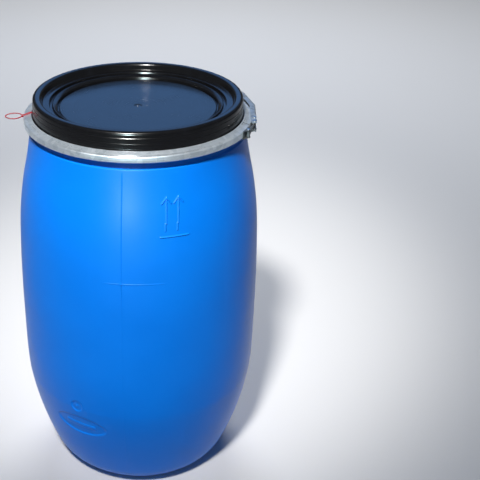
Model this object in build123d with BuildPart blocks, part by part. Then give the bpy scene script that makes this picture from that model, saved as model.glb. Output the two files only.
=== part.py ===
"""An open-top plastic drum of about 120 litres, with a lid and a lever-lock clamp ring.

Millimetres. +Z is up, and the origin is the centre of the base, on the floor. The front is -Y,
and the ring's closure is on the right, at +X. Angles round the drum are degrees from +X.
"""

from build123d import *
import os
from math import atan2, cos, degrees, radians, sin

# Drum body
wall = 4.0
foot_inner_r = 98.0
foot_outer_r = 123.3
foot_floor_r = 100.0
base_floor_r = 94.0
base_rise = 6.0
belly_r = 240.0
neck_r = 201.5
mouth_r = 195.0
mouth_bottom_z = 744.0
shoulder_r = 205.4
shoulder_z = 737.5
neck_foot_z = 739.5
rim_r = 211.3
rim_top_z = 760.0
neck_corner_r = 1.2
# Stations up the outside of the wall: radius, height, lean in degrees (+ leans outwards)
side_stations = [
    (193.3, 47.7, 21.4),
    (237.5, 222.0, 3.7),
    (belly_r, 300.0, 0.0),
    (belly_r, 380.0, 0.0),
    (235.6, 545.0, -3.05),
    (217.7, 670.0, -13.2),
    (205.8, 734.5, -9.0),
]

# Lid
lid_top_z = 803.0
lid_wall_r = 198.0
lid_thickness = 3.5
crest_corner_r = 5.5
lid_corner_r = 0.25
panel_z = 780.0
gate_mark_r = (1.4, 3.2)
gate_mark_depth = 0.6
flange_r = 212.0
flange_bottom_z = 760.5
plug_r = 194.3
plug_bottom_z = 742.0
gasket_inner_r = 199.2
gasket_outer_r = 205.8
gasket_top_z = 764.4
gasket_corner_r = 0.4
gasket_side_z = 761.2
gasket_crown_z = 760.3

# Clamp band, the same above and below its middle
band_mid_z = 760.0
band_r = 215.0
band_sheet = 1.2
web_half = 5.5
top_lip_r = 200.0
bottom_lip_r = 202.4
leg_slope = 0.344
leg_clearance = 0.4
bend_r = 1.6
rear_end_angle = -16.5
front_end_angle = 342.6
flex_angle = 161.25

# Closure
pivot_r, pivot_angle = 221.0, -13.5
link_rivet_r, link_rivet_angle = 218.9, -8.8
anchor_r, anchor_angle = 220.0, -24.5
rivet_r = 2.0
rivet_head_r = 3.6
rivet_head = 1.0
rivet_head_round = 0.6
running_gap = 0.05
press_sheet = 1.2
bracket_start_gap = 0.2
hinge_bracket_end = -10.4
anchor_bracket_start = -21.2
anchor_bracket_end = -28.5
lever_half = 9.0
lever_depth = 11.0
lever_front_round = 3.5
lever_rear_round = 3.0
ear_half = 7.5
ear_r = 4.6
link_half = 5.5
link_sheet = 2.0
link_eye_r = 3.4
link_bow = 0.6
stub_inside = 0.3
# Corners of the lever's outer face, seen from above
lever_corners = [(218.6, -61.8), (224.0, 36.0), (207.5, 108.0)]
lever_bend_r = 30.0
lever_web_start = 14.0
lock_r, lock_angle = 222.5, 21.5
lock_hole_r = 1.75
lever_lock_hole_r = 2.6
lock_lug_half = 1.0
lock_lug_r = 225.5
lock_lug_root, lock_lug_end = 1.4, 1.0
small_hole_at = (216.0, 3.0)
small_hole_r = 1.8

# Seal
seal_angle = 184.0
seal_wire = 2.0
seal_loop_length = 29.5
seal_loop_tilt = 40.0
loop_foot_half = 1.3
loop_root = 1.0
# How full the loop is above, below and at its tip: share of its length, and width
loop_upper = (0.15, 9.5)
loop_lower = (0.4, 10.0)
loop_tip_fullness = 4.8
strand_wire = 1.3
strand_gap = 4.4
strand_bends = [2.0, 0.6, 0.3]
crimp_size = (4.0, 5.6, 4.6)
crimp_corner_r = 1.4
crimp_edge_r = 0.8


def around(radius, angle, height=0.0):
    """The point at this radius and angle round the drum's axis."""
    return (radius * cos(radians(angle)), radius * sin(radians(angle)), height)


def half_plane(angle):
    """The upright plane through the drum's axis at this angle: local x is radius, y is height."""
    out = around(1, angle)
    return Plane(origin=(0, 0, 0), x_dir=out, z_dir=(out[1], -out[0], 0))


def moved_in(station, inset):
    """A point of the wall, moved inwards square to it."""
    radius, height, lean = station
    return (radius - inset * cos(radians(lean)), height + inset * sin(radians(lean)))


def side_of_wall(inset):
    """The side of the wall from the foot up to the shoulder, moved in by inset."""
    heel = (foot_outer_r, inset)
    TangentArc(heel, moved_in(side_stations[0], inset), tangent=(1, 0))
    for low, high in zip(side_stations, side_stations[1:]):
        if low[2] == high[2]:
            Line(moved_in(low, inset), moved_in(high, inset))
        else:
            turn = (sin(radians(low[2])), cos(radians(low[2])))
            TangentArc(moved_in(low, inset), moved_in(high, inset), tangent=turn)


def leg_line(radius, side, depth=0.0):
    """Height of the band's leg at a radius, above (side 1) or below (-1); depth goes in from it."""
    rise = web_half + (band_r - radius) * leg_slope
    return band_mid_z + side * (rise - depth * (1 + leg_slope**2) ** 0.5)


def finish(piece, name):
    """Name the finished piece and write it."""
    piece.part.label = name
    export_step(piece.part, f"parts/{name}.step")


os.makedirs("parts", exist_ok=True)

# ---------------------------------------------------------------- drum body
leg_gap = band_sheet + leg_clearance
with BuildPart() as drum_body:
    with BuildSketch(Plane.XZ):
        with BuildLine():
            Polyline(
                (0, base_rise + wall),
                (0, base_rise),
                (foot_inner_r - base_rise, base_rise),
                (foot_inner_r, 0),
                (foot_outer_r, 0),
            )
            side_of_wall(0)
            FilletPolyline(
                moved_in(side_stations[-1], 0),
                (shoulder_r, shoulder_z),
                (neck_r, neck_foot_z),
                (neck_r, leg_line(neck_r, -1, leg_gap)),
                (rim_r, leg_line(rim_r, -1, leg_gap)),
                (rim_r, rim_top_z),
                (mouth_r, rim_top_z),
                (mouth_r, mouth_bottom_z),
                moved_in(side_stations[-1], wall),
                radius=neck_corner_r,
            )
            side_of_wall(wall)
            Polyline(
                (foot_outer_r, wall),
                (foot_floor_r, wall),
                (base_floor_r, base_rise + wall),
                (0, base_rise + wall),
            )
        make_face()
    revolve(axis=Axis.Z)
finish(drum_body, "drum_body")

# ---------------------------------------------------------------- lid
crest_corners = [(182.0, lid_top_z), (196.8, lid_top_z)]
lid_outline = [
    (0, panel_z),
    (147.0, panel_z),
    (148.0, 777.0),
    (150.2, 777.0),
    (151.2, 784.0),
    (159.0, 788.0),
    (160.0, 783.0),
    (165.0, 783.0),
    (166.0, 790.0),
    (178.0, 790.0),
    *crest_corners,
    (196.8, 792.2),
    (197.3, 791.6),
    (197.3, 782.3),
    (197.7, 781.7),
    (197.7, 773.2),
    (lid_wall_r, 772.6),
    (lid_wall_r, leg_line(lid_wall_r, 1, leg_gap)),
    (flange_r, leg_line(flange_r, 1, leg_gap)),
    (flange_r, flange_bottom_z),
    (gasket_outer_r, flange_bottom_z),
    (gasket_outer_r, gasket_top_z),
    (gasket_inner_r, gasket_top_z),
    (gasket_inner_r, flange_bottom_z),
    (plug_r, flange_bottom_z),
    (plug_r, plug_bottom_z + 2),
    (plug_r - 1.2, plug_bottom_z),
    (plug_r - lid_thickness, plug_bottom_z),
    (plug_r - lid_thickness, 775.0),
    (193.3, 779.0),
    (193.3, lid_top_z - lid_thickness),
    (184.4, lid_top_z - lid_thickness),
    (180.4, 786.5),
    (169.0, 786.5),
    (168.0, 779.5),
    (157.4, 779.5),
    (156.4, 783.0),
    (154.2, 781.8),
    (153.2, 773.5),
    (145.4, 773.5),
    (144.4, panel_z - lid_thickness),
    (0, panel_z - lid_thickness),
]
lid_corner_radii = [
    crest_corner_r if corner in crest_corners else lid_corner_r for corner in lid_outline[1:-1]
]
with BuildPart() as lid:
    with BuildSketch(Plane.XZ):
        with BuildLine():
            FilletPolyline(*lid_outline, radius=lid_corner_radii)
            Line(lid_outline[-1], lid_outline[0])
        make_face()
    revolve(axis=Axis.Z)
    # Gate mark in the middle of the panel
    with BuildSketch(Plane.XY.offset(panel_z)):
        Circle(gate_mark_r[1])
        Circle(gate_mark_r[0], mode=Mode.SUBTRACT)
    extrude(amount=-gate_mark_depth, mode=Mode.SUBTRACT)
finish(lid, "lid")

with BuildPart() as lid_gasket:
    with BuildSketch(Plane.XZ):
        with BuildLine():
            FilletPolyline(
                (gasket_inner_r, gasket_side_z),
                (gasket_inner_r, gasket_top_z),
                (gasket_outer_r, gasket_top_z),
                (gasket_outer_r, gasket_side_z),
                radius=gasket_corner_r,
            )
            ThreePointArc(
                (gasket_outer_r, gasket_side_z),
                ((gasket_inner_r + gasket_outer_r) / 2, gasket_crown_z),
                (gasket_inner_r, gasket_side_z),
            )
        make_face()
    revolve(axis=Axis.Z)
finish(lid_gasket, "lid_gasket")

# ---------------------------------------------------------------- clamp band
for band_name, first_angle, last_angle in [
    ("clamp_band_rear", rear_end_angle, flex_angle),
    ("clamp_band_front", flex_angle, front_end_angle),
]:
    with BuildPart() as clamp_band:
        with BuildSketch(half_plane(first_angle)):
            with BuildLine():
                section = FilletPolyline(
                    (top_lip_r, leg_line(top_lip_r, 1)),
                    (band_r, band_mid_z + web_half),
                    (band_r, band_mid_z - web_half),
                    (bottom_lip_r, leg_line(bottom_lip_r, -1)),
                    radius=bend_r,
                )
                offset(section, amount=band_sheet, side=Side.RIGHT, closed=True)
            make_face()
        revolve(axis=Axis.Z, revolution_arc=last_angle - first_angle)
    finish(clamp_band, band_name)

# ---------------------------------------------------------------- brackets
pivot = around(pivot_r, pivot_angle)
link_rivet_at = around(link_rivet_r, link_rivet_angle)
anchor = around(anchor_r, anchor_angle)


def bracket(first_angle, last_angle, pin_at):
    """A pressed bracket: a curved plate on the band's web, with an ear above and below."""
    middle = (first_angle + last_angle) / 2
    with BuildSketch(Plane.XY.offset(band_mid_z - ear_half)) as plate:
        with BuildLine():
            ThreePointArc(
                around(band_r, first_angle), around(band_r, middle), around(band_r, last_angle)
            )
            Line(around(band_r, last_angle), around(band_r + press_sheet, last_angle))
            ThreePointArc(
                around(band_r + press_sheet, last_angle),
                around(band_r + press_sheet, middle),
                around(band_r + press_sheet, first_angle),
            )
            Line(around(band_r + press_sheet, first_angle), around(band_r, first_angle))
        make_face()
    extrude(plate.sketch, amount=2 * ear_half)
    for ear_z in (band_mid_z - ear_half, band_mid_z + ear_half - press_sheet):
        with BuildSketch(Plane.XY.offset(ear_z)) as ear:
            with BuildLine():
                Line(
                    around(band_r + press_sheet / 2, first_angle),
                    around(band_r + press_sheet / 2, last_angle),
                )
                CenterArc(pin_at, ear_r, 0, 360)
            make_hull()
        extrude(ear.sketch, amount=press_sheet)
    with BuildSketch(Plane.XY.offset(band_mid_z - ear_half)) as pin_hole:
        with Locations(pin_at):
            Circle(rivet_r)
    extrude(pin_hole.sketch, amount=2 * ear_half, mode=Mode.SUBTRACT)


with BuildPart() as hinge_bracket:
    bracket(rear_end_angle + bracket_start_gap, hinge_bracket_end, pivot)
finish(hinge_bracket, "hinge_bracket")

with BuildPart() as anchor_bracket:
    bracket(anchor_bracket_start, anchor_bracket_end, anchor)
finish(anchor_bracket, "anchor_bracket")


def stub_rivets(pin_at, grip_half):
    """Two short rivets on one axis, above and below, with the space between them left free."""
    for side in (1, -1):
        with BuildSketch(Plane.XY.offset(band_mid_z + side * (link_half + stub_inside))) as shank:
            with Locations(pin_at):
                Circle(rivet_r)
        extrude(shank.sketch, amount=side * (grip_half + rivet_head - link_half - stub_inside))
        with BuildSketch(Plane.XY.offset(band_mid_z + side * grip_half)) as head:
            with Locations(pin_at):
                Circle(rivet_head_r)
        extrude(head.sketch, amount=side * rivet_head)


def round_heads(rivets):
    """Round the outer edges of the top and bottom heads."""
    ends = rivets.faces().filter_by(Axis.Z).sort_by(Axis.Z)
    fillet([ends[-1].edges(), ends[0].edges()], radius=rivet_head_round)


with BuildPart() as lever_pivot_rivets:
    stub_rivets(pivot, lever_half + running_gap)
    round_heads(lever_pivot_rivets)
finish(lever_pivot_rivets, "lever_pivot_rivets")

with BuildPart() as anchor_rivets:
    stub_rivets(anchor, ear_half)
    round_heads(anchor_rivets)
finish(anchor_rivets, "anchor_rivets")

# ---------------------------------------------------------------- lever
# The web starts past the link's rivet, so that the link can swing out between the two flanges
(front_x, front_y), (knee_x, knee_y) = lever_corners[:2]
web_start_y = link_rivet_at[1] + lever_web_start
web_start_x = front_x + (knee_x - front_x) * (web_start_y - front_y) / (knee_y - front_y)
web_start = (web_start_x, web_start_y)
with BuildPart() as closure_lever:
    with BuildSketch(Plane.XY.offset(band_mid_z - lever_half)):
        with BuildLine():
            web_line = FilletPolyline(web_start, *lever_corners[1:], radius=lever_bend_r)
            offset(web_line, amount=press_sheet, side=Side.LEFT, closed=True)
        make_face()
    extrude(amount=2 * lever_half)
    for flange_z in (band_mid_z - lever_half, band_mid_z + lever_half - press_sheet):
        with BuildSketch(Plane.XY.offset(flange_z)) as flange:
            with BuildLine():
                flange_line = FilletPolyline(*lever_corners, radius=lever_bend_r)
                offset(flange_line, amount=lever_depth, side=Side.LEFT, closed=True)
            make_face()
            fillet(flange.vertices().sort_by(Axis.Y)[:2], radius=lever_front_round)
            fillet(flange.vertices().sort_by(Axis.Y)[-2:], radius=lever_rear_round)
        extrude(amount=press_sheet)
    with BuildSketch(Plane.XY.offset(band_mid_z - lever_half)):
        with Locations(pivot):
            Circle(rivet_r + running_gap)
        with Locations(link_rivet_at):
            Circle(rivet_r)
        with Locations(around(lock_r, lock_angle)):
            Circle(lever_lock_hole_r)
        with Locations(around(*small_hole_at)):
            Circle(small_hole_r)
    extrude(amount=2 * lever_half, mode=Mode.SUBTRACT)
finish(closure_lever, "closure_lever")

with BuildPart() as link_rivet:
    with BuildSketch(Plane.XY.offset(band_mid_z - lever_half)):
        with Locations(link_rivet_at):
            Circle(rivet_r)
    extrude(amount=2 * lever_half)
    for side in (1, -1):
        with BuildSketch(Plane.XY.offset(band_mid_z + side * lever_half)):
            with Locations(link_rivet_at):
                Circle(rivet_head_r)
        extrude(amount=side * rivet_head)
    round_heads(link_rivet)
finish(link_rivet, "link_rivet")

# ---------------------------------------------------------------- link
link_middle = around(
    (link_rivet_r + anchor_r) / 2 - link_bow, (link_rivet_angle + anchor_angle) / 2
)
with BuildPart() as tension_link:
    with BuildSketch(Plane.XY.offset(band_mid_z - link_half)):
        SlotArc(
            ThreePointArc(link_rivet_at, link_middle, anchor, mode=Mode.PRIVATE),
            height=link_sheet,
        )
        with Locations(link_rivet_at, anchor):
            Circle(link_eye_r)
        with Locations(link_rivet_at):
            Circle(rivet_r + running_gap, mode=Mode.SUBTRACT)
        with Locations(anchor):
            Circle(rivet_r, mode=Mode.SUBTRACT)
    extrude(amount=2 * link_half)
finish(tension_link, "tension_link")

with BuildPart() as link_end_pin:
    with BuildSketch(Plane.XY.offset(band_mid_z - link_half)):
        with Locations(anchor):
            Circle(rivet_r)
    extrude(amount=2 * link_half)
finish(link_end_pin, "link_end_pin")

# ---------------------------------------------------------------- lock lug
with BuildPart() as lock_lug:
    with BuildSketch(Plane.XY.offset(band_mid_z - lock_lug_half)):
        with BuildLine():
            Polyline(
                around(band_r, lock_angle + lock_lug_root),
                around(lock_lug_r, lock_angle + lock_lug_end),
                around(lock_lug_r, lock_angle - lock_lug_end),
                around(band_r, lock_angle - lock_lug_root),
            )
            ThreePointArc(
                around(band_r, lock_angle - lock_lug_root),
                around(band_r, lock_angle),
                around(band_r, lock_angle + lock_lug_root),
            )
        make_face()
        with Locations(around(lock_r, lock_angle)):
            Circle(lock_hole_r, mode=Mode.SUBTRACT)
    extrude(amount=2 * lock_lug_half)
finish(lock_lug, "lock_lug")

# ---------------------------------------------------------------- red seal
crimp_in = band_r + 0.2
seal_z = band_mid_z + web_half - 0.5
crimp_plane = Plane(origin=around(crimp_in, seal_angle, seal_z), z_dir=around(1, seal_angle))
with BuildPart() as seal_crimp:
    with BuildSketch(crimp_plane):
        RectangleRounded(crimp_size[1], crimp_size[2], radius=crimp_corner_r)
    extrude(amount=crimp_size[0])
    fillet(seal_crimp.faces().sort_by(Axis.X)[0].edges(), radius=crimp_edge_r)
finish(seal_crimp, "seal_crimp")

# A leaf-shaped loop, fullest near the crimp on its upper side and further out on its lower side
loop_out = Vector(*around(1, seal_angle))
loop_across = Vector(*around(1, seal_angle - 90)).rotate(Axis((0, 0, 0), loop_out), -seal_loop_tilt)
loop_plane = Plane(
    origin=around(crimp_in + crimp_size[0] - loop_root, seal_angle, seal_z),
    x_dir=loop_out,
    z_dir=loop_out.cross(loop_across),
)
tip_x = loop_root + seal_loop_length
with BuildPart() as seal_loop:
    with BuildLine(loop_plane):
        first_side = Bezier(
            (0, loop_foot_half),
            (tip_x * loop_upper[0], loop_upper[1]),
            (tip_x, loop_tip_fullness),
            (tip_x, 0),
        )
        Bezier(
            (tip_x, 0),
            (tip_x, -loop_tip_fullness),
            (tip_x * loop_lower[0], -loop_lower[1]),
            (0, -loop_foot_half),
        )
    with BuildSketch(Plane(origin=first_side @ 0, z_dir=first_side % 0)):
        Circle(seal_wire / 2)
    sweep()
finish(seal_loop, "seal_loop")

strand_up = strand_wire / 2 + 0.25
with BuildPart() as seal_strands:
    for strand_side in (-1, 1):
        strand_angle = seal_angle + strand_side * degrees(atan2(strand_gap / 2, band_r))
        with BuildLine(half_plane(strand_angle)):
            strand = FilletPolyline(
                (crimp_in + 0.8, seal_z + 1.7),
                (band_r - 1.5, leg_line(band_r - 1.5, 1, -strand_up)),
                (top_lip_r, leg_line(top_lip_r, 1, -strand_up)),
                (top_lip_r - 1.0, leg_line(top_lip_r, 1)),
                (top_lip_r - 1.0, leg_line(top_lip_r, 1, 0.5)),
                radius=strand_bends,
            )
        with BuildSketch(Plane(origin=strand @ 0, z_dir=strand % 0)):
            Circle(strand_wire / 2)
        sweep()
finish(seal_strands, "seal_strands")
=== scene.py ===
from math import atan2, ceil, cos, degrees, exp, hypot, pi, radians, sin

import bmesh
import bpy
from mathutils import Matrix, Vector


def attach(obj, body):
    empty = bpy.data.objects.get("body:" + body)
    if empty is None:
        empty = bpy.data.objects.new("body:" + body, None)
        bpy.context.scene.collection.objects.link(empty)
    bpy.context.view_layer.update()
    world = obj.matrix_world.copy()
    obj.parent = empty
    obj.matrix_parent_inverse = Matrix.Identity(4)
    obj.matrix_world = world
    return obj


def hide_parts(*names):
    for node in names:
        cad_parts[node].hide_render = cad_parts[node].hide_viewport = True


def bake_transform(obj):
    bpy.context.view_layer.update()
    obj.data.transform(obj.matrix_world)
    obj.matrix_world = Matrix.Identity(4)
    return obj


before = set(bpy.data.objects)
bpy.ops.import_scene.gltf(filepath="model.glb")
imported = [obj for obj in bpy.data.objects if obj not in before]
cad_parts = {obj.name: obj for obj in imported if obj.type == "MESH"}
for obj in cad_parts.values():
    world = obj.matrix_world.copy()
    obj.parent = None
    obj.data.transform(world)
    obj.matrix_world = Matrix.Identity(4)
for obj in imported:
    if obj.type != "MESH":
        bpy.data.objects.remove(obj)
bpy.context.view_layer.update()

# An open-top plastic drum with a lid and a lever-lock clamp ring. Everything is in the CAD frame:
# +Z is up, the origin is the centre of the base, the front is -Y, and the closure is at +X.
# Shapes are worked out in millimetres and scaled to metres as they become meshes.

MM = 0.001


# ---------------------------------------------------------------- helpers
def around(radius, angle, height=0.0):
    """The point at this radius, angle in degrees round the drum's axis, and height."""
    return Vector((radius * cos(radians(angle)), radius * sin(radians(angle)), height))


def new_object(name, bm, material):
    """A smooth-shaded mesh object from a bmesh in millimetres."""
    bmesh.ops.scale(bm, vec=(MM, MM, MM), verts=bm.verts)
    bmesh.ops.recalc_face_normals(bm, faces=bm.faces)
    mesh = bpy.data.meshes.new(name)
    bm.to_mesh(mesh)
    bm.free()
    mesh.shade_smooth()
    mesh.materials.append(material)
    piece = bpy.data.objects.new(name, mesh)
    bpy.context.scene.collection.objects.link(piece)
    return piece


def stands_for(piece, body, slot, *nodes):
    """The piece moves with a body and replaces these CAD nodes. The slot is not used."""
    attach(piece, body)
    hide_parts(*nodes)
    return piece


# The share of a straight run that the two rounded corners at its ends may take up
CORNER_SHARE = 0.96


def rounded(points, radii, steps=4):
    """The outline through these points, with each corner rounded by its radius."""
    outline = [Vector(points[0])]
    sizes = [0.0, *radii, 0.0]
    for n in range(1, len(points) - 1):
        corner, radius = Vector(points[n]), sizes[n]
        back, ahead = Vector(points[n - 1]) - corner, Vector(points[n + 1]) - corner
        half = back.angle(ahead) / 2
        # each run is shared between its two corners by their radii
        back_room = CORNER_SHARE * back.length * radius / (radius + sizes[n - 1])
        ahead_room = CORNER_SHARE * ahead.length * radius / (radius + sizes[n + 1])
        reach = min(radius * cos(half) / sin(half), back_room, ahead_room)
        start, end = corner + back.normalized() * reach, corner + ahead.normalized() * reach
        for step in range(steps + 1):
            t = step / steps
            outline.append(start * (1 - t) ** 2 + corner * 2 * t * (1 - t) + end * t**2)
    outline.append(Vector(points[-1]))
    return outline


def divided(outline, longest):
    """The same outline with no run longer than this."""
    points = [outline[0]]
    for start, end in zip(outline, outline[1:]):
        parts = max(1, ceil((end - start).length / longest))
        points += [start.lerp(end, part / parts) for part in range(1, parts + 1)]
    return points


def turned(outline, angles):
    """A bmesh of the outline (radius, height) turned once round the axis, through these angles."""
    bm = bmesh.new()
    rings = [[bm.verts.new(around(r, angle, z)) for r, z in outline] for angle in angles]
    for left, right in zip(rings, rings[1:] + rings[:1]):
        for n in range(len(outline) - 1):
            bm.faces.new((left[n], right[n], right[n + 1], left[n + 1]))
    bmesh.ops.remove_doubles(bm, verts=bm.verts, dist=1e-4)
    return bm


def shell(bm, rings):
    """A closed skin over these rings of vertices, with a face across the first and the last."""
    count = len(rings[0])
    for left, right in zip(rings, rings[1:]):
        for n in range(count):
            bm.faces.new((left[n], right[n], right[(n + 1) % count], left[(n + 1) % count]))
    bm.faces.new(rings[0])
    bm.faces.new(list(reversed(rings[-1])))


def even_angles(count, start=0.0):
    """Angles in degrees, spread evenly over one turn."""
    return [start + 360 * n / count for n in range(count)]


# ---------------------------------------------------------------- blue body
FOOT_INNER_R, FOOT_OUTER_R = 98.0, 123.3
BASE_RISE = 6.0
WALL = 4.0
MOUTH_R, RIM_R, NECK_R = 195.0, 211.3, 201.5
RIM_TOP_Z, RIM_UNDER_Z, NECK_TOP_Z = 760.0, 754.9, 751.5
SHOULDER_R, SHOULDER_Z = 205.4, 737.5
NECK_LOW_Z, MOUTH_LOW_Z = 739.5, 744.0
FLOOR_R, FLOOR_EDGE_R = 94.0, 100.0
# Stations up the outside of the wall: radius, height, lean in degrees (+ leans outwards)
WALL_STATIONS = [
    (193.3, 47.7, 21.4),
    (237.5, 222.0, 3.7),
    (240.0, 300.0, 0.0),
    (240.0, 380.0, 0.0),
    (235.6, 545.0, -3.05),
    (217.7, 670.0, -13.2),
    (205.8, 734.5, -9.0),
]
# The longest runs of an outline: outside the wall, inside it, and on flat parts
OUTER_RUN, INNER_RUN, FLAT_RUN = 7.0, 14.0, 30.0
BODY_COLUMNS = 240
# The mould's raised parting line runs up the front, a little left of the middle, and up the back.
# The mesh has extra columns at these distances from it, as angles at SEAM_WALL_R, and no others
# nearer than SEAM_CLEARING, in degrees. SEAM_REACH is how far the line and its nub spread
SEAM_ANGLES = [-97.0, 83.0]
SEAM_STEPS = [-1.8, -1.1, -0.8, -0.4, 0.0, 0.4, 0.8, 1.1, 1.8]
SEAM_WALL_R, SEAM_REACH, SEAM_CLEARING = 236.0, 1.6, 0.6
SEAM_HALF_WIDTH, SEAM_RISE, SEAM_TOP_Z = 1.1, 0.75, 736.0
# Low down it fades to a share of its height
SEAM_LOW_Z, SEAM_FADE, SEAM_LEAST = 430.0, 60.0, 0.35
# The faint line across the front, with a small nub where it meets the parting line
CROSS_Z, CROSS_ANGLE, CROSS_HALF_TURN = 527.5, -91.0, 13.0
CROSS_HALF_WIDTH, CROSS_RISE = 1.2, 0.45
CROSS_ROWS = [-2.0, -1.2, -0.6, 0.0, 0.6, 1.2, 2.0]
NUB_RISE, NUB_HIGH, NUB_WIDE = 0.8, 1.8, 1.4


def tangent_arc(start, lean, end, steps):
    """Points along the arc that leaves start at this lean from upright and ends at end."""
    start, end = Vector(start), Vector(end)
    tangent = Vector((sin(radians(lean)), cos(radians(lean))))
    normal = Vector((-tangent.y, tangent.x))
    chord = end - start
    bend = 2 * chord.dot(normal) / chord.length_squared
    if abs(bend) < 1e-9:
        return [start.lerp(end, step / steps) for step in range(1, steps + 1)]
    sweep = 2 * atan2(chord.dot(normal), chord.dot(tangent))
    points = []
    for step in range(1, steps + 1):
        turn = sweep * step / steps
        points.append(start + (tangent * sin(turn) + normal * (1 - cos(turn))) / bend)
    return points


def side_of_wall(inset, longest):
    """The side of the wall from the foot up to the shoulder, moved in by inset."""
    def moved_in(radius, height, lean):
        return Vector((radius - inset * cos(radians(lean)), height + inset * sin(radians(lean))))

    points = [Vector((FOOT_OUTER_R, inset))]
    lean = 90.0
    for radius, height, next_lean in WALL_STATIONS:
        end = moved_in(radius, height, next_lean)
        steps = ceil((end - points[-1]).length / longest)
        points += tangent_arc(points[-1], lean, end, steps)
        lean = next_lean
    return points


def bump(distance, half_width):
    """1 at the middle of a raised line, falling smoothly to 0 at its edge."""
    share = min(1.0, abs(distance) / half_width)
    return 0.5 + 0.5 * cos(pi * share)


def line_distance(point, start, end):
    """How far a point is from the run between start and end."""
    run = end - start
    along = max(0.0, min(1.0, (point - start).dot(run) / run.length_squared))
    return (point - start - run * along).length


# Marks on the front, in millimetres round the wall from the middle of the front, and height.
# Two arrows, pointing up, over a line. Each shaft steps a little to the left at its foot
ARROWS_AT = [52.3, 74.4]
ARROW_FOOT_Z, ARROW_STEP_Z, ARROW_TIP_Z = 628.5, 641.0, 687.5
ARROW_STEP = 1.6
ARROW_BARB = (8.6, 11.0)
ARROW_LINE = (41.6, 94.4, 617.2)
MARK_HALF_WIDTH, MARK_RISE = 1.9, 1.7
# A blank oval field with a bar in it and a blank round one with a dot, both sunk into the wall
OVAL_AT, OVAL_HALF = (-124.5, 176.5), (61.5, 24.5)
DISC_AT, DISC_R = (-130.0, 228.0), 14.0
FIELD_DEPTH, FIELD_EDGE = 2.2, 3.4
FIELD_BAR, BAR_EDGE, BAR_SHARE = (34.0, 5.0), 2.4, 0.7
DOT_R, DOT_SHARE = 4.5, 0.8
# All of the marks lie between these heights
MARKS_LOW_Z, MARKS_HIGH_Z = 140.0, 735.0
# Patches of the wall with a finer mesh for the marks: left, right, low, high and cuts to each edge
ARROW_PATCH = (33.6, 102.4, 608.0, 698.0, 9)
FIELD_PATCH = (-194.5, -54.5, 144.0, 250.0, 6)


def arrow_runs():
    """The straight runs of the two arrows and the line under them."""
    runs = []
    for at in ARROWS_AT:
        tip = Vector((at, ARROW_TIP_Z))
        runs.append((Vector((at, ARROW_STEP_Z)), tip))
        foot_at = at - ARROW_STEP
        runs.append((Vector((foot_at, ARROW_FOOT_Z)), Vector((foot_at, ARROW_STEP_Z))))
        for side in (-1, 1):
            runs.append((tip + Vector((side * ARROW_BARB[0], -ARROW_BARB[1])), tip))
    left, right, height = ARROW_LINE
    runs.append((Vector((left, height)), Vector((right, height))))
    return runs


ARROW_RUNS = arrow_runs()


def sunk(distance_inside):
    """How deep a field is, from how far inside its edge the point is."""
    share = max(0.0, min(1.0, distance_inside / FIELD_EDGE))
    return -FIELD_DEPTH * share * share * (3 - 2 * share)


def relief(across, height):
    """How far the marks stand out from the wall at a place on it, in millimetres."""
    place = Vector((across, height))
    rise = 0.0
    if ARROW_PATCH[0] < across < ARROW_PATCH[1]:
        nearest = min(line_distance(place, start, end) for start, end in ARROW_RUNS)
        rise = MARK_RISE * bump(nearest, MARK_HALF_WIDTH)
    off = place - Vector(OVAL_AT)
    out = hypot(off.x / OVAL_HALF[0], off.y / OVAL_HALF[1])
    rise += sunk((1 - out) * OVAL_HALF[1])
    bar = max(abs(off.x) - FIELD_BAR[0], abs(off.y) - FIELD_BAR[1])
    rise += BAR_SHARE * FIELD_DEPTH * (1 - max(0.0, min(1.0, bar / BAR_EDGE + 0.5)))
    off = place - Vector(DISC_AT)
    rise += sunk(DISC_R - off.length) + DOT_SHARE * FIELD_DEPTH * bump(off.length, DOT_R)
    return rise


def front_distance(point):
    """How far round the wall a point is from the middle of the front, to the right of it if +."""
    angle = degrees(atan2(point.y, point.x)) + 90
    angle = (angle + 180) % 360 - 180
    return radians(angle) * hypot(point.x, point.y)


def seam_offset(angle, seam):
    """How far from a parting line this angle is, in millimetres round the wall."""
    return radians((angle - seam + 180) % 360 - 180) * SEAM_WALL_R


def seam_rise(off, height):
    """How far the parting line and its nub stand out from the wall, in millimetres."""
    fade = max(SEAM_LEAST, min(1.0, (height - SEAM_LOW_Z) / SEAM_FADE))
    nub = NUB_RISE * exp(-((height - CROSS_Z) / NUB_HIGH) ** 2 - (off / NUB_WIDE) ** 2)
    return SEAM_RISE * fade * bump(off, SEAM_HALF_WIDTH) + nub


def body_angles():
    """Even columns round the body, with closer ones at its two parting lines."""
    angles = even_angles(BODY_COLUMNS, start=-90.0)
    for seam in SEAM_ANGLES:
        angles = [a for a in angles if abs((a - seam + 180) % 360 - 180) > SEAM_CLEARING]
        angles += [seam + degrees(shift / SEAM_WALL_R) for shift in SEAM_STEPS]
    return sorted((a + 90) % 360 - 90 for a in angles)


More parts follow.
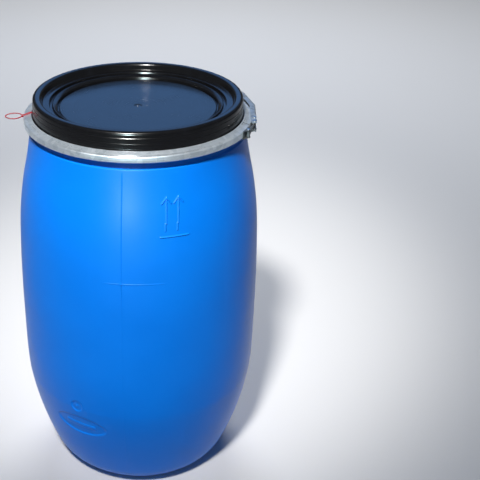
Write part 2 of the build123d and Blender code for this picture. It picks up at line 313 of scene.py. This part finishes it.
def make_body(material):
    outer = side_of_wall(0, OUTER_RUN)
    cross = min(range(len(outer)), key=lambda n: abs(outer[n].y - CROSS_Z))
    near = [CROSS_Z + row for row in CROSS_ROWS]
    low, high = outer[cross - 1], outer[cross + 1]
    outer[cross:cross + 1] = [low.lerp(high, (z - low.y) / (high.y - low.y)) for z in near]
    underside = divided(
        rounded(
            [
                (0, BASE_RISE),
                (FOOT_INNER_R - BASE_RISE, BASE_RISE),
                (FOOT_INNER_R, 0),
                (FOOT_OUTER_R, 0),
            ],
            [3.0, 2.0],
        ),
        FLAT_RUN,
    )
    shoulder, inner = outer[-1], side_of_wall(WALL, INNER_RUN)
    neck = rounded(
        [
            shoulder,
            (SHOULDER_R, SHOULDER_Z),
            (NECK_R, NECK_LOW_Z),
            (NECK_R, NECK_TOP_Z),
            (RIM_R, RIM_UNDER_Z),
            (RIM_R, RIM_TOP_Z),
            (MOUTH_R, RIM_TOP_Z),
            (MOUTH_R, MOUTH_LOW_Z),
            inner[-1],
        ],
        [1.0, 1.2, 1.2, 1.2, 2.4, 2.4, 2.0],
    )
    floor = divided(
        rounded(
            [
                (FOOT_OUTER_R, WALL),
                (FLOOR_EDGE_R, WALL),
                (FLOOR_R, BASE_RISE + WALL),
                (0, BASE_RISE + WALL),
            ],
            [2.0, 2.0],
        ),
        FLAT_RUN,
    )
    outline = underside + outer[1:-1] + neck + inner[-2:0:-1] + floor

    bm = turned(outline, body_angles())
    side = outer[1:-1]

    def wall_radius(height):
        for start, end in zip(side, side[1:]):
            if start.y <= height <= end.y:
                return start.x + (end.x - start.x) * (height - start.y) / (end.y - start.y)
        return None

    def on_outer_wall(point):
        expected = wall_radius(point.z)
        return expected is not None and hypot(point.x, point.y) > expected - WALL / 4

    def refine(left, right, low, high, cuts):
        faces = []
        for face in bm.faces:
            middle = face.calc_center_median()
            if low < middle.z < high and left < front_distance(middle) < right and on_outer_wall(middle):
                faces.append(face)
        edges = {edge for face in faces for edge in face.edges}
        bmesh.ops.subdivide_edges(bm, edges=list(edges), cuts=cuts, use_grid_fill=True)

    refine(*ARROW_PATCH)
    refine(*FIELD_PATCH)

    for vert in bm.verts:
        height = vert.co.z
        if vert.co.y > 0 or not on_outer_wall(vert.co) or not MARKS_LOW_Z < height < MARKS_HIGH_Z:
            continue
        radius = wall_radius(height) + relief(front_distance(vert.co), height)
        angle = degrees(atan2(vert.co.y, vert.co.x))
        if abs(angle - CROSS_ANGLE) < CROSS_HALF_TURN:
            radius += CROSS_RISE * bump(height - CROSS_Z, CROSS_HALF_WIDTH)
        vert.co = around(radius, angle, height)
    for vert in bm.verts:
        height = vert.co.z
        if not on_outer_wall(vert.co) or height > SEAM_TOP_Z:
            continue
        angle = degrees(atan2(vert.co.y, vert.co.x))
        for seam in SEAM_ANGLES:
            off = seam_offset(angle, seam)
            if abs(off) <= SEAM_REACH:
                radius = hypot(vert.co.x, vert.co.y) + seam_rise(off, height)
                vert.co = around(radius, angle, height)
    return stands_for(new_object("drum_shell", bm, material), "drum", "blue_plastic", "drum_body")


# ---------------------------------------------------------------- lid and gasket
# Corners of the lid's section, from the middle of the top round to the middle of the underside:
# radius, height and how far the corner is rounded
LID_CORNERS = [
    (0.0, 779.7, 0.0),
    (1.4, 779.7, 0.2),
    (1.9, 778.9, 0.3),
    (5.5, 778.9, 0.8),
    (7.5, 780.0, 0.8),
    (147.0, 780.0, 1.0),
    (148.0, 777.0, 0.6),
    (150.2, 777.0, 0.6),
    (151.2, 784.0, 1.4),
    (159.0, 788.0, 1.4),
    (160.0, 783.0, 1.2),
    (165.0, 783.0, 1.2),
    (166.0, 790.0, 1.2),
    (178.0, 790.0, 1.6),
    (182.0, 803.0, 6.5),
    (196.8, 803.0, 6.5),
    (196.8, 792.2, 0.5),
    (197.3, 791.6, 0.5),
    (197.3, 782.3, 0.5),
    (197.7, 781.7, 0.5),
    (197.7, 773.2, 0.5),
    (198.0, 772.6, 0.5),
    (198.0, 769.7, 0.8),
    (212.0, 764.9, 0.8),
    (212.0, 760.5, 0.5),
    (205.8, 760.5, 0.3),
    (205.8, 764.4, 0.3),
    (199.2, 764.4, 0.3),
    (199.2, 760.5, 0.5),
    (194.3, 760.5, 0.8),
    (194.3, 744.0, 1.0),
    (193.1, 742.0, 0.8),
    (190.8, 742.0, 0.8),
    (190.8, 775.0, 2.0),
    (193.3, 779.0, 2.0),
    (193.3, 799.5, 1.5),
    (184.4, 799.5, 1.5),
    (180.4, 786.5, 1.5),
    (169.0, 786.5, 1.5),
    (168.0, 779.5, 1.0),
    (157.4, 779.5, 1.0),
    (156.4, 783.0, 1.0),
    (154.2, 781.8, 1.0),
    (153.2, 773.5, 1.0),
    (145.4, 773.5, 0.8),
    (144.4, 776.5, 0.8),
    (0.0, 776.5, 0.0),
]
LID_COLUMNS, GASKET_COLUMNS = 288, 180
GASKET_INNER_R, GASKET_OUTER_R, GASKET_LOW_HALF = 199.2, 205.8, 1.5
GASKET_TOP_Z, GASKET_SIDE_Z, GASKET_LOW_Z = 764.4, 761.2, 760.3


def make_lid(material):
    points = [(radius, height) for radius, height, _ in LID_CORNERS]
    radii = [corner for _, _, corner in LID_CORNERS[1:-1]]
    outline = divided(rounded(points, radii, steps=5), FLAT_RUN)
    bm = turned(outline, even_angles(LID_COLUMNS))
    return stands_for(new_object("moulded_lid", bm, material), "lid", "black_plastic", "lid")


def make_gasket(material):
    middle = (GASKET_INNER_R + GASKET_OUTER_R) / 2
    outline = rounded(
        [
            (middle, GASKET_TOP_Z),
            (GASKET_INNER_R, GASKET_TOP_Z),
            (GASKET_INNER_R, GASKET_SIDE_Z),
            (middle - GASKET_LOW_HALF, GASKET_LOW_Z),
            (middle + GASKET_LOW_HALF, GASKET_LOW_Z),
            (GASKET_OUTER_R, GASKET_SIDE_Z),
            (GASKET_OUTER_R, GASKET_TOP_Z),
            (middle, GASKET_TOP_Z),
        ],
        [0.4, 0.8, 1.5, 1.5, 0.8, 0.4],
        steps=3,
    )
    bm = turned(outline, even_angles(GASKET_COLUMNS))
    return stands_for(new_object("foam_gasket", bm, material), "lid", "gasket_rubber", "lid_gasket")


# ---------------------------------------------------------------- clamp band
BAND_MID_Z, BAND_R, BAND_SHEET = 760.0, 215.0, 1.2
WEB_HALF, LEG_SLOPE = 5.5, 0.344
TOP_LIP_R, BOTTOM_LIP_R = 200.0, 202.4
# The top leg is rolled slightly hollow
VALLEY_IN, VALLEY_DEPTH = 6.5, 0.85
BAND_START, BAND_END = -16.5, 342.6
# The band's flex point, with FLEX_HALF to either side of it; the mesh has extra sections at these
# degrees from the point
FLEX_ANGLE, FLEX_HALF = 161.25, 8.0
FLEX_STEPS = [step / 10 for step in range(-22, 23, 2)]
BAND_STEPS = 300
# Bends sharper than this keep an edge
BAND_CREASE = radians(50)


def leg_height(radius, side, depth=0.0):
    """Height of the band's leg at a radius, above (side 1) or below (-1), depth inside its skin."""
    rise = WEB_HALF + (BAND_R - radius) * LEG_SLOPE
    return BAND_MID_Z + side * (rise - depth * hypot(1, LEG_SLOPE))


def band_section():
    """The closed section of the band: its outer skin, out and down, then its inner skin, back."""
    valley = BAND_R - VALLEY_IN
    skin = [(TOP_LIP_R, leg_height(TOP_LIP_R, 1)), (valley, leg_height(valley, 1, VALLEY_DEPTH))]
    skin += [(BAND_R, BAND_MID_Z + WEB_HALF)]
    skin += [(BAND_R, BAND_MID_Z - WEB_HALF), (BOTTOM_LIP_R, leg_height(BOTTOM_LIP_R, -1))]
    inside_r = BAND_R - BAND_SHEET
    lining = [(BOTTOM_LIP_R, leg_height(BOTTOM_LIP_R, -1, BAND_SHEET))]
    lining += [(inside_r, leg_height(inside_r, -1, BAND_SHEET))]
    lining += [(inside_r, leg_height(inside_r, 1, BAND_SHEET))]
    lining += [(TOP_LIP_R, leg_height(TOP_LIP_R, 1, BAND_SHEET))]
    start = (TOP_LIP_R, leg_height(TOP_LIP_R, 1, BAND_SHEET / 2))
    radii = [0.5, 6.0, 2.6, 2.6, 0.5, 0.5, 1.2, 1.2, 0.5]
    return rounded([start, *skin, *lining, start], radii, steps=5)[:-1]


def swept(section, angles):
    """A closed section turned through these angles, with its two ends closed."""
    bm = bmesh.new()
    shell(bm, [[bm.verts.new(around(r, angle, z)) for r, z in section] for angle in angles])
    return bm


def make_band(material):
    whole = BAND_END - BAND_START
    angles = [BAND_START + whole * n / BAND_STEPS for n in range(BAND_STEPS + 1)]
    angles += [FLEX_ANGLE + step for step in FLEX_STEPS]
    angles = sorted(set(angles))
    band = new_object("clamp_band", swept(band_section(), angles), material)
    band.data.set_sharp_from_angle(angle=BAND_CREASE)
    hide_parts("clamp_band_front", "clamp_band_rear")
    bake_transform(band)
    return band


# ---------------------------------------------------------------- closure lever
# Corners of the lever's outer face, seen from above. It reaches LEVER_DEPTH from there to the drum
LEVER_CORNERS = [(218.6, -61.8), (224.0, 36.0), (207.5, 108.0)]
LEVER_BEND_R = 30.0
LEVER_HALF, LEVER_DEPTH, LEVER_SHEET = 9.0, 11.0, 1.2
LEVER_WEB_FROM_Y = -19.5
LEVER_OUTER_BEND, LEVER_INNER_BEND, SHEET_EDGE = 2.0, 0.8, 0.35
FRONT_ROUND, REAR_ROUND = 3.5, 3.0
LEVER_RUN, LEVER_CREASE = 4.0, radians(40)
# How far from its ends the lever has closer sections, for their rounded corners
END_STEPS = [0.0, 0.08, 0.3, 0.7, 1.2, 1.9, 2.7]
# The seal's hole and a smaller pressing hole: middle and radius
LEVER_HOLES = [(around(222.5, 21.5), 2.6), (around(216.0, 3.0), 1.8)]


def lever_stations():
    """Points along the lever's outer face, closer together at its two rounded ends."""
    path = divided(rounded(LEVER_CORNERS, [LEVER_BEND_R], steps=10), LEVER_RUN)
    web = min(path, key=lambda point: abs(point.y - LEVER_WEB_FROM_Y))
    web.y = LEVER_WEB_FROM_Y
    start, after, before, end = path[0], path[1], path[-2], path[-1]
    first = (after - start).normalized()
    last = (before - end).normalized()
    front = [start + first * step for step in END_STEPS]
    rear = [end + last * step for step in reversed(END_STEPS)]
    return front + path[1:-1] + rear


def station_frames(stations):
    """Each station with the direction from it towards the drum, square to the path."""
    frames = []
    for n, point in enumerate(stations):
        ahead = stations[min(n + 1, len(stations) - 1)] - stations[max(n - 1, 0)]
        ahead.normalize()
        frames.append((point, Vector((-ahead.y, ahead.x))))
    return frames


def corner_cut(distance, radius):
    """How much a rounded corner takes off the side, this far from the end."""
    if distance >= radius:
        return 0.0
    return radius - (radius**2 - (radius - distance) ** 2) ** 0.5


def swept_along(bm, frames, sections):
    """A closed shell through one section of (inward, height) points for each frame."""
    rings = []
    for (point, inward), section in zip(frames, sections):
        ring = []
        for deep, height in section:
            place = point + inward * deep
            ring.append(bm.verts.new((place.x, place.y, BAND_MID_Z + height)))
        rings.append(ring)
    shell(bm, rings)


def channel_section(depth):
    """The lever's U section, open towards the drum."""
    inside = LEVER_HALF - LEVER_SHEET
    corners = [
        (depth, inside + LEVER_SHEET / 2),
        (depth, LEVER_HALF),
        (0, LEVER_HALF),
        (0, -LEVER_HALF),
        (depth, -LEVER_HALF),
        (depth, -inside),
        (LEVER_SHEET, -inside),
        (LEVER_SHEET, inside),
        (depth, inside),
        (depth, inside + LEVER_SHEET / 2),
    ]
    edge, outer, inner = SHEET_EDGE, LEVER_OUTER_BEND, LEVER_INNER_BEND
    return rounded(corners, [edge, outer, outer, edge, edge, inner, inner, edge])[:-1]


def flange_section(outside, depth, side):
    """One flange of the lever on its own, above (side 1) or below (-1)."""
    high, low = side * LEVER_HALF, side * (LEVER_HALF - LEVER_SHEET)
    middle = (high + low) / 2
    corners = [
        (depth, middle), (depth, high), (outside, high),
        (outside, low), (depth, low), (depth, middle),
    ]
    return rounded(corners, [SHEET_EDGE] * 4)[:-1]


DRILL_LENGTH, DRILL_SIDES = 40.0, 32


def drill(piece, holes):
    """Cut round upright holes through a piece of the closure. Holes are (middle, radius)."""
    bm = bmesh.new()
    for middle, radius in holes:
        place = Matrix.Translation(Vector((middle.x, middle.y, BAND_MID_Z)))
        bmesh.ops.create_cone(
            bm, cap_ends=True, segments=DRILL_SIDES, radius1=radius, radius2=radius,
            depth=DRILL_LENGTH, matrix=place,
        )
    cutter = new_object("cutter", bm, piece.data.materials[0])
    cut = piece.modifiers.new("holes", "BOOLEAN")
    cut.operation, cut.solver, cut.object = "DIFFERENCE", "EXACT", cutter
    cut.use_self = True
    evaluated = piece.evaluated_get(bpy.context.evaluated_depsgraph_get())
    finished = bpy.data.meshes.new_from_object(evaluated)
    piece.modifiers.clear()
    piece.data = finished
    bpy.data.objects.remove(cutter)


def make_lever(material):
    frames = station_frames(lever_stations())
    start, end = frames[0][0], frames[-1][0]
    bm = bmesh.new()
    web = [(point, inward) for point, inward in frames if point.y >= LEVER_WEB_FROM_Y]
    depths = [LEVER_DEPTH - corner_cut((point - end).length, REAR_ROUND) for point, _ in web]
    swept_along(bm, web, [channel_section(depth) for depth in depths])
    open_part = [(point, inward) for point, inward in frames if point.y <= LEVER_WEB_FROM_Y]
    for side in (1, -1):
        sections = []
        for point, _ in open_part:
            cut = corner_cut((point - start).length, FRONT_ROUND)
            sections.append(flange_section(cut, LEVER_DEPTH - cut, side))
        swept_along(bm, open_part, sections)
    lever = new_object("closure_lever_pressing", bm, material)
    drill(lever, LEVER_HOLES)
    lever.data.set_sharp_from_angle(angle=LEVER_CREASE)
    return stands_for(lever, "lever", "zinc_pressing", "closure_lever")


# ---------------------------------------------------------------- materials
class Finish:
    """A procedural material: a Principled shader, and textures placed in the object's own frame."""

    def __init__(self, name, base, roughness, metallic=0.0, **sockets):
        self.material = bpy.data.materials.new(name)
        self.material.use_nodes = True
        self.nodes, self.links = self.material.node_tree.nodes, self.material.node_tree.links
        self.shader = self.nodes["Principled BSDF"]
        self.shader.inputs["Base Color"].default_value = (*base, 1.0)
        self.shader.inputs["Roughness"].default_value = roughness
        self.shader.inputs["Metallic"].default_value = metallic
        for socket, value in sockets.items():
            self.shader.inputs[socket].default_value = value
        self.place = self.nodes.new("ShaderNodeTexCoord").outputs["Object"]
        self.material.diffuse_color = (*base, 1.0)

    def link(self, source, node, socket):
        self.links.new(source, node.inputs[socket])

    def stretched(self, scale):
        """The object's coordinates, scaled along each axis."""
        node = self.nodes.new("ShaderNodeMapping")
        node.inputs["Scale"].default_value = scale
        self.link(self.place, node, "Vector")
        return node.outputs["Vector"]

    def radius(self):
        """The distance from the drum's axis."""
        split = self.nodes.new("ShaderNodeSeparateXYZ")
        self.link(self.place, split, "Vector")
        flat = self.nodes.new("ShaderNodeCombineXYZ")
        self.link(split.outputs["X"], flat, "X")
        self.link(split.outputs["Y"], flat, "Y")
        length = self.nodes.new("ShaderNodeVectorMath")
        length.operation = "LENGTH"
        self.link(flat.outputs["Vector"], length, 0)
        return length.outputs["Value"]

    def turned_rings(self, across, along):
        """Coordinates that are fine across a turned ring and slow along it."""
        split = self.nodes.new("ShaderNodeSeparateXYZ")
        self.link(self.place, split, "Vector")
        ring = self.nodes.new("ShaderNodeCombineXYZ")
        self.link(self.math("MULTIPLY", self.radius(), across), ring, "X")
        self.link(self.math("MULTIPLY", split.outputs["Z"], across), ring, "Y")
        slow = self.math("ADD", split.outputs["X"], split.outputs["Y"])
        self.link(self.math("MULTIPLY", slow, along), ring, "Z")
        return ring.outputs["Vector"]

    def math(self, operation, first, second):
        node = self.nodes.new("ShaderNodeMath")
        node.operation = operation
        for n, value in enumerate((first, second)):
            if isinstance(value, (int, float)):
                node.inputs[n].default_value = value
            else:
                self.links.new(value, node.inputs[n])
        return node.outputs["Value"]

    def noise(self, scale, detail=3.0, roughness=0.5, vector=None):
        node = self.nodes.new("ShaderNodeTexNoise")
        node.inputs["Scale"].default_value = scale
        node.inputs["Detail"].default_value = detail
        node.inputs["Roughness"].default_value = roughness
        self.link(vector or self.place, node, "Vector")
        return node.outputs["Fac"]

    def cells(self, scale, vector=None):
        node = self.nodes.new("ShaderNodeTexVoronoi")
        node.inputs["Scale"].default_value = scale
        self.link(vector or self.place, node, "Vector")
        split = self.nodes.new("ShaderNodeSeparateColor")
        self.link(node.outputs["Color"], split, "Color")
        return split.outputs["Red"]

    def spread(self, value, low, high, to_low, to_high):
        """The value from low to high, mapped to to_low to to_high."""
        node = self.nodes.new("ShaderNodeMapRange")
        for socket, number in (
            ("From Min", low), ("From Max", high), ("To Min", to_low), ("To Max", to_high),
        ):
            node.inputs[socket].default_value = number
        self.link(value, node, "Value")
        return node.outputs["Result"]

    def between(self, share, first, second):
        """A colour between two others: sockets 6, 7 and 2 are the mix node's colours."""
        node = self.nodes.new("ShaderNodeMix")
        node.data_type = "RGBA"
        for n, colour in ((6, first), (7, second)):
            if isinstance(colour, tuple):
                node.inputs[n].default_value = (*colour, 1.0)
            else:
                self.links.new(colour, node.inputs[n])
        self.links.new(share, node.inputs[0])
        return node.outputs[2]

    def bump(self, height, distance, strength=1.0, under=None):
        """A bump of this height in metres, on top of another one."""
        node = self.nodes.new("ShaderNodeBump")
        node.inputs["Distance"].default_value = distance
        node.inputs["Strength"].default_value = strength
        self.link(height, node, "Height")
        if under is not None:
            self.link(under, node, "Normal")
        return node.outputs["Normal"]

    def use(self, **sources):
        """Link outputs to the shader's sockets, named with underscores."""
        for name, source in sources.items():
            self.link(source, self.shader, name.replace("_", " "))
        return self.material


def blue_plastic():
    """Blow-moulded polyethylene: a satin skin with a fine sand-blasted grain and soft streaks."""
    finish = Finish(
        "blue_polyethylene", (0.0, 0.175, 0.74), 0.37, **{"Specular IOR Level": 0.16}
    )
    cloud = finish.noise(6.0, 3.0)
    colour = finish.between(
        finish.spread(cloud, 0.3, 0.7, 0.0, 1.0), (0.0, 0.165, 0.72), (0.0, 0.182, 0.77)
    )
    flow = finish.noise(1.0, 4.0, vector=finish.stretched((26.0, 26.0, 2.2)))
    colour = finish.between(
        finish.spread(flow, 0.62, 0.8, 0.0, 0.22), colour, (0.01, 0.22, 0.87)
    )
    scuff = finish.noise(1.0, 6.0, 0.6, vector=finish.stretched((30.0, 30.0, 95.0)))
    marks = finish.spread(scuff, 0.66, 0.78, 0.0, 0.16)
    roughness = finish.math("ADD", finish.spread(cloud, 0.3, 0.7, 0.34, 0.40), marks)
    grain = finish.bump(finish.noise(1500.0, 2.0), 0.00006)
    waves = finish.bump(finish.noise(9.0, 1.0), 0.0016, under=grain)
    return finish.use(Base_Color=colour, Roughness=roughness, Normal=waves)


# The lid's flat panel starts between these radii, in metres
PANEL_EDGE = (0.149, 0.145)


def black_plastic():
    """Injection-moulded black polyethylene: polished, with handling smudges and a duller panel that has
    a painted blue reflection in its colour.
    """
    finish = Finish(
        "black_polyethylene", (0.006, 0.006, 0.007), 0.2, **{"Specular IOR Level": 0.4}
    )
    smudge = finish.noise(14.0, 5.0, 0.6)
    dust = finish.noise(55.0, 6.0, 0.7)
    colour = finish.between(
        finish.spread(dust, 0.5, 0.8, 0.0, 0.35), (0.004, 0.004, 0.0045), (0.010, 0.012, 0.016)
    )
    # the flat panel is dulled from what has stood on it, and its colour carries a painted blue sky
    # reflection, blotched by the smudges
    panel = finish.spread(finish.radius(), *PANEL_EDGE, 0.0, 1.0)
    sky_sheen_and_smudge = finish.math("MULTIPLY", panel, finish.spread(smudge, 0.35, 0.6, 0.6, 1.0))
    colour = finish.between(sky_sheen_and_smudge, colour, (0.007, 0.012, 0.022))
    fine = finish.noise(1.0, 3.0, vector=finish.turned_rings(900.0, 14.0))
    roughness = finish.math(
        "ADD",
        finish.spread(smudge, 0.35, 0.7, 0.12, 0.22),
        finish.spread(fine, 0.3, 0.7, -0.03, 0.05),
    )
    roughness = finish.math("ADD", roughness, finish.math("MULTIPLY", panel, 0.05))
    rings = finish.bump(fine, 0.00004)
    sink = finish.bump(finish.noise(7.0, 1.0), 0.0006, under=rings)
    return finish.use(Base_Color=colour, Roughness=roughness, Normal=sink)


def zinc(name, dull, bright, rough, across, along, spangle):
    """Galvanised steel: a pale crystal pattern under fine rolling lines and a few dull smears.

    The crystals' colours run from dull to bright, and rough is the range of the roughness. The
    scales are of the rolling lines, across and along them, and of the crystals.
    """
    finish = Finish(name, bright, 0.42, metallic=0.8)
    crystals = finish.cells(spangle)
    smear = finish.noise(22.0, 5.0, 0.65)
    colour = finish.between(crystals, dull, bright)
    colour = finish.between(
        finish.spread(smear, 0.6, 0.78, 0.0, 0.35), colour, (0.33, 0.35, 0.36)
    )
    lines = finish.noise(1.0, 2.0, vector=finish.turned_rings(across, along))
    roughness = finish.math(
        "ADD",
        finish.spread(lines, 0.3, 0.7, *rough),
        finish.spread(smear, 0.45, 0.75, 0.0, 0.14),
    )
    return finish.use(
        Base_Color=colour, Roughness=roughness, Normal=finish.bump(lines, 0.00005)
    )


def rivet_steel():
    """Bright plated steel with a slightly hammered head."""
    finish = Finish("rivet_steel", (0.55, 0.56, 0.57), 0.28, metallic=1.0)
    dents = finish.noise(420.0, 2.0)
    colour = finish.between(
        finish.spread(dents, 0.35, 0.7, 0.0, 1.0), (0.42, 0.43, 0.44), (0.66, 0.67, 0.68)
    )
    return finish.use(
        Base_Color=colour,
        Roughness=finish.spread(dents, 0.3, 0.7, 0.2, 0.38),
        Normal=finish.bump(dents, 0.00012),
    )


def gasket_rubber():
    """Soft foam rubber with an open grain."""
    finish = Finish("gasket_rubber", (0.03, 0.03, 0.03), 0.85)
    grain = finish.noise(900.0, 4.0, 0.7)
    colour = finish.between(
        finish.spread(grain, 0.35, 0.7, 0.0, 1.0), (0.018, 0.018, 0.018), (0.05, 0.05, 0.05)
    )
    return finish.use(
        Base_Color=colour,
        Roughness=finish.spread(grain, 0.3, 0.7, 0.75, 0.95),
        Normal=finish.bump(grain, 0.0002),
    )


def red_plastic():
    """Dark red nylon with soft moulding marks."""
    finish = Finish("red_nylon", (0.5, 0.01, 0.03), 0.3, **{"Specular IOR Level": 0.25})
    marks = finish.noise(260.0, 3.0)
    colour = finish.between(
        finish.spread(marks, 0.3, 0.7, 0.0, 1.0), (0.16, 0.002, 0.008), (0.30, 0.004, 0.014)
    )
    return finish.use(
        Base_Color=colour,
        Roughness=finish.spread(marks, 0.3, 0.7, 0.22, 0.42),
        Normal=finish.bump(marks, 0.0001),
    )


def wear(node, material):
    """Give a CAD node this material."""
    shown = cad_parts[node]
    shown.data.materials.clear()
    shown.data.materials.append(material)


# ---------------------------------------------------------------- the model
BAND_ZINC = zinc(
    "band_zinc", (0.60, 0.68, 0.75), (0.80, 0.87, 0.93), (0.26, 0.40),
    across=1500.0, along=5.0, spangle=110.0,
)
PRESSED_ZINC = zinc(
    "pressed_zinc", (0.26, 0.29, 0.31), (0.42, 0.46, 0.48), (0.34, 0.48),
    across=500.0, along=60.0, spangle=160.0,
)
# A darker copy of the pressed zinc for the brackets, link and lug: painted shade of the closure's
# shadowed corner, with some dirt
SHADED_BRACKET_ZINC = zinc(
    "shaded_bracket_zinc", (0.09, 0.10, 0.105), (0.20, 0.22, 0.23), (0.34, 0.48),
    across=500.0, along=60.0, spangle=160.0,
)
make_body(blue_plastic())
make_lid(black_plastic())
make_gasket(gasket_rubber())
make_band(BAND_ZINC)
make_lever(PRESSED_ZINC)
for node in ("hinge_bracket", "anchor_bracket", "tension_link", "lock_lug"):
    wear(node, SHADED_BRACKET_ZINC)
RIVETS = rivet_steel()
for node in ("lever_pivot_rivets", "anchor_rivets", "link_rivet", "link_end_pin"):
    wear(node, RIVETS)
RED = red_plastic()
for node in ("seal_crimp", "seal_loop", "seal_strands"):
    wear(node, RED)


# ---------------------------------------------------------------- studio
# The floor is in millimetres, like the pieces. The lamps and the camera are placed in metres
FLOOR_HALF = 30000
CAMERA_AT, CAMERA_DOWN = (0.0293, -1.70, 1.399), 30.0


def make_floor():
    """A plain pale floor, wide enough to fill the view from any side."""
    bm = bmesh.new()
    bmesh.ops.create_grid(bm, x_segments=1, y_segments=1, size=FLOOR_HALF)
    finish = Finish("studio_floor", (0.62, 0.62, 0.62), 0.9)
    floor = new_object("floor", bm, finish.material)


def hang(name, lamp, power, colour, place, aim):
    """Put a lamp at a place in metres, facing another."""
    lamp.energy, lamp.color = power, colour
    light = bpy.data.objects.new(name, lamp)
    light.location = place
    light.rotation_euler = (Vector(aim) - Vector(place)).to_track_quat("-Z", "Y").to_euler()
    bpy.context.scene.collection.objects.link(light)
    return light


def make_light(name, size, power, colour, place, aim):
    """A round soft lamp of this diameter."""
    lamp = bpy.data.lights.new(name, "AREA")
    lamp.shape = "DISK"
    lamp.size = size
    return hang(name, lamp, power, colour, place, aim)


def make_spot(name, radius, power, colour, place, aim):
    """A lamp whose beam is brightest in the middle and fades out to its edge."""
    lamp = bpy.data.lights.new(name, "SPOT")
    lamp.shadow_soft_size = radius
    lamp.spot_size, lamp.spot_blend = radians(25), 1.0
    return hang(name, lamp, power, colour, place, aim)


def make_sky():
    """Soft light from all round: pale low down and bluer overhead."""
    world = bpy.data.worlds.new("studio_sky")
    bpy.context.scene.world = world
    world.use_nodes = True
    nodes, links = world.node_tree.nodes, world.node_tree.links
    place = nodes.new("ShaderNodeTexCoord")
    split = nodes.new("ShaderNodeSeparateXYZ")
    ramp = nodes.new("ShaderNodeValToRGB")
    ramp.color_ramp.elements[0].position = 0.0
    ramp.color_ramp.elements[0].color = (0.86, 0.90, 0.96, 1)
    ramp.color_ramp.elements[1].position = 0.55
    ramp.color_ramp.elements[1].color = (0.45, 0.66, 1.0, 1)
    links.new(place.outputs["Generated"], split.inputs["Vector"])
    links.new(split.outputs["Z"], ramp.inputs["Fac"])
    links.new(ramp.outputs["Color"], nodes["Background"].inputs["Color"])
    nodes["Background"].inputs["Strength"].default_value = 0.10


def make_camera():
    lens = bpy.data.cameras.new("camera")
    lens.lens, lens.sensor_width = 71.1, 36.0
    lens.shift_x, lens.shift_y = 0.18, 0.0673
    lens.clip_end = 100.0
    camera = bpy.data.objects.new("camera", lens)
    camera.location = CAMERA_AT
    camera.rotation_euler = (radians(90 - CAMERA_DOWN), 0, 0)
    bpy.context.scene.collection.objects.link(camera)
    bpy.context.scene.camera = camera


bpy.context.scene.view_settings.view_transform = "Standard"
make_floor()
make_sky()
make_spot("key", 0.2, 1020.0, (1.0, 0.98, 0.95), around(2.2, -102, 3.35), (-0.03, 0, 0.66))
backdrop = make_light("backdrop", 2.4, 150.0, (1.0, 1.0, 1.0), (0.2, 2.9, 3.6), (0.2, 2.9, 0))
# the backdrop only lights the floor behind, and is not mirrored in the lid
backdrop.visible_glossy = False
make_light("blue_softbox", 2.2, 11.5, (0.14, 0.41, 1.0), (0.0, 3.2, 2.5), (0, 0, 0.75))
streak = make_light("streak", 0.5, 60.0, (0.75, 0.97, 1.0), around(2.6, -99, 1.0), (0, 0, 0.66))
# the streak is only a soft highlight down the front, with no fill under the clamp ring
streak.visible_diffuse = False
make_camera()
